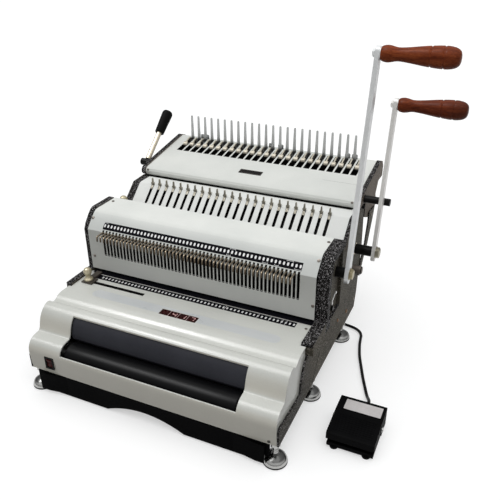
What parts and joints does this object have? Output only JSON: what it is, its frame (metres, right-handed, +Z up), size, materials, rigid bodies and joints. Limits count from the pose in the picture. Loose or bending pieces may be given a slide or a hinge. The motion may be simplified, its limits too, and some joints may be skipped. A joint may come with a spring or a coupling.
{
  "type": "comb and coil binding machine",
  "caption": "Desktop binding machine: side levers punch coil holes and comb slots, a fingered top deck opens plastic combs, and a powered roller with a foot switch spins coils in",
  "frame": {"origin": "under the middle of the machine and its levers, on the surface that it stands on", "axes": "+X to the operator's right along the machine's length, +Y to the back, +Z up"},
  "size_m": [0.568, 0.508, 0.5052],
  "materials": {
    "cover_paint": "light grey hammered paint",
    "dark_paint": "dark brown-grey hammered paint",
    "dark_sheet": "satin charcoal paint",
    "steel": "satin",
    "black_steel": "black oxide",
    "pin_metal": "dull nickelled brass",
    "lever_paint": "pale grey paint",
    "grip_wood": "varnished red-brown",
    "foam": "soft matt",
    "belt_rubber": "matt",
    "cable_rubber": "satin",
    "black_plastic": "fine grain",
    "rocker_plastic": "gloss",
    "lens": "gloss",
    "board": "satin",
    "motor_case": "satin",
    "foot_chrome": "polished"
  },
  "bodies": {
    "machine": {"base_pan": "dark_paint", "front_skirt": "dark_paint", "side_plate_left": "dark_paint", "side_plate_right": "dark_paint", "rear_panel": "dark_paint", "inserter_cover": "cover_paint", "trough_liner": "dark_sheet", "display_lens": "lens", "roller_brackets": "steel", "motor": "motor_case", "drive_belt": "belt_rubber", "control_board": "board", "mains_inlet": "black_plastic", "rocker_bezel": "black_plastic", "coil_cover": "cover_paint", "coil_end_plate_left": "dark_paint", "coil_end_plate_right": "dark_paint", "coil_die_block": "steel", "throat_shelf": "dark_paint", "comb_cover": "cover_paint", "comb_die_block": "steel", "opener_cover": "cover_paint", "opener_end_plate_left": "dark_paint", "opener_end_plate_right": "dark_paint", "opener_comb_plate": "steel", "rear_struts": "dark_paint", "lever_stop_rod": "dark_paint", "shaft_bushes": "pin_metal", "cover_screws": "steel", "levelling_feet": "foot_chrome", "cable_gland": "cable_rubber", "pedal_base": "black_plastic", "pedal_pin": "steel", "pedal_cord_a": "cable_rubber", "cord_coil": "cable_rubber", "pedal_cord_b": "cable_rubber"},
    "front_handle": {"front_shaft": "black_steel", "front_lever_bar": "lever_paint", "front_grip": "grip_wood"},
    "coil_press": {"coil_press_bar": "steel"},
    "coil_pins": {"coil_pull_pins": "pin_metal"},
    "rear_handle": {"rear_shaft": "black_steel", "rear_lever_bar": "lever_paint", "rear_grip": "grip_wood"},
    "comb_press": {"comb_press_bar": "steel"},
    "comb_pins": {"comb_pull_pins": "pin_metal"},
    "comb_lever": {"lever_shaft": "black_steel", "comb_lever_rod": "steel", "comb_lever_grip": "black_plastic"},
    "comb_hooks": {"hook_bar": "pin_metal"},
    "feed_roller": {"roller": "foam", "roller_shaft": "steel"},
    "motor_drive": {"motor_pulley": "steel"},
    "power_rocker": {"rocker": "rocker_plastic"},
    "foot_tread": {"pedal_tread": "black_plastic"},
    "coil_edge_guide": {"coil_guide": "dark_sheet"},
    "coil_edge_knob": {"coil_guide_knob": "pin_metal"},
    "comb_edge_guide": {"comb_guide": "dark_sheet"},
    "comb_edge_knob": {"comb_guide_knob": "pin_metal"},
    "chip_drawer": {"chip_tray": "black_plastic"}
  },
  "joints": [
    {"name": "front_handle_pull", "type": "hinge", "parent": "machine", "child": "front_handle", "pos_m": [0.1655, -0.03, 0.189], "axis": [1, 0, 0], "range_deg": [0, 85], "stiffness_Nm_per_rad": 0.5, "springref_deg": -68.75},
    {"name": "coil_press_slide", "type": "slide", "parent": "machine", "child": "coil_press", "axis": [0, 0, -1], "range_m": [0, 0.0201]},
    {"name": "coil_pins_slide", "type": "slide", "parent": "coil_press", "child": "coil_pins", "axis": [0, -1, 0], "range_m": [0, 0.008]},
    {"name": "rear_handle_pull", "type": "hinge", "parent": "machine", "child": "rear_handle", "pos_m": [0.1775, 0.091, 0.1685], "axis": [1, 0, 0], "range_deg": [0, 80], "stiffness_Nm_per_rad": 0.5, "springref_deg": -68.75},
    {"name": "comb_press_slide", "type": "slide", "parent": "machine", "child": "comb_press", "axis": [0, -0.7575, -0.6529], "range_m": [0, 0.0141]},
    {"name": "comb_pins_slide", "type": "slide", "parent": "comb_press", "child": "comb_pins", "axis": [0, -0.6529, 0.7575], "range_m": [0, 0.006]},
    {"name": "comb_lever_pull", "type": "hinge", "parent": "machine", "child": "comb_lever", "pos_m": [-0.2737, 0.124, 0.2495], "axis": [1, 0, 0], "range_deg": [0, 75]},
    {"name": "comb_hooks_slide", "type": "slide", "parent": "machine", "child": "comb_hooks", "axis": [0, -0.9862, -0.1657], "range_m": [0, 0.0201]},
    {"name": "feed_roller_spin", "type": "hinge", "parent": "machine", "child": "feed_roller", "pos_m": [-0.0595, -0.2255, 0.0655], "axis": [1, 0, 0], "continuous": true},
    {"name": "motor_spin", "type": "hinge", "parent": "machine", "child": "motor_drive", "pos_m": [0.1005, -0.165, 0.0655], "axis": [1, 0, 0], "continuous": true},
    {"name": "power_rocker_tilt", "type": "hinge", "parent": "machine", "child": "power_rocker", "pos_m": [-0.225, -0.247, 0.0581], "axis": [1, 0, 0], "range_deg": [-16, 0]},
    {"name": "foot_tread_press", "type": "hinge", "parent": "machine", "child": "foot_tread", "pos_m": [0.22525, -0.143, 0.02], "axis": [1, 0, 0], "range_deg": [0, 6], "stiffness_Nm_per_rad": 2, "springref_deg": -11.46},
    {"name": "coil_guide_slide", "type": "slide", "parent": "machine", "child": "coil_edge_guide", "axis": [1, 0, 0], "range_m": [0, 0.097]},
    {"name": "coil_guide_lock", "type": "hinge", "parent": "coil_edge_guide", "child": "coil_edge_knob", "pos_m": [-0.2415, -0.1187, 0.14], "axis": [0, 0, 1], "continuous": true},
    {"name": "comb_guide_slide", "type": "slide", "parent": "machine", "child": "comb_edge_guide", "axis": [1, 0, 0], "range_m": [0, 0.05]},
    {"name": "comb_guide_lock", "type": "hinge", "parent": "comb_edge_guide", "child": "comb_edge_knob", "pos_m": [-0.2515, 0.0105, 0.214], "axis": [0, 0, 1], "continuous": true},
    {"name": "chip_drawer_slide", "type": "slide", "parent": "machine", "child": "chip_drawer", "axis": [-1, 0, 0], "range_m": [0, 0.3]}
  ],
  "couplings": [
    {"joint": "coil_press_slide", "follows": "front_handle_pull", "m_per_rad": 0.013481},
    {"joint": "comb_press_slide", "follows": "rear_handle_pull", "m_per_rad": 0.010027},
    {"joint": "comb_hooks_slide", "follows": "comb_lever_pull", "m_per_rad": 0.015279},
    {"joint": "motor_spin", "follows": "feed_roller_spin", "ratio": 1}
  ]
}
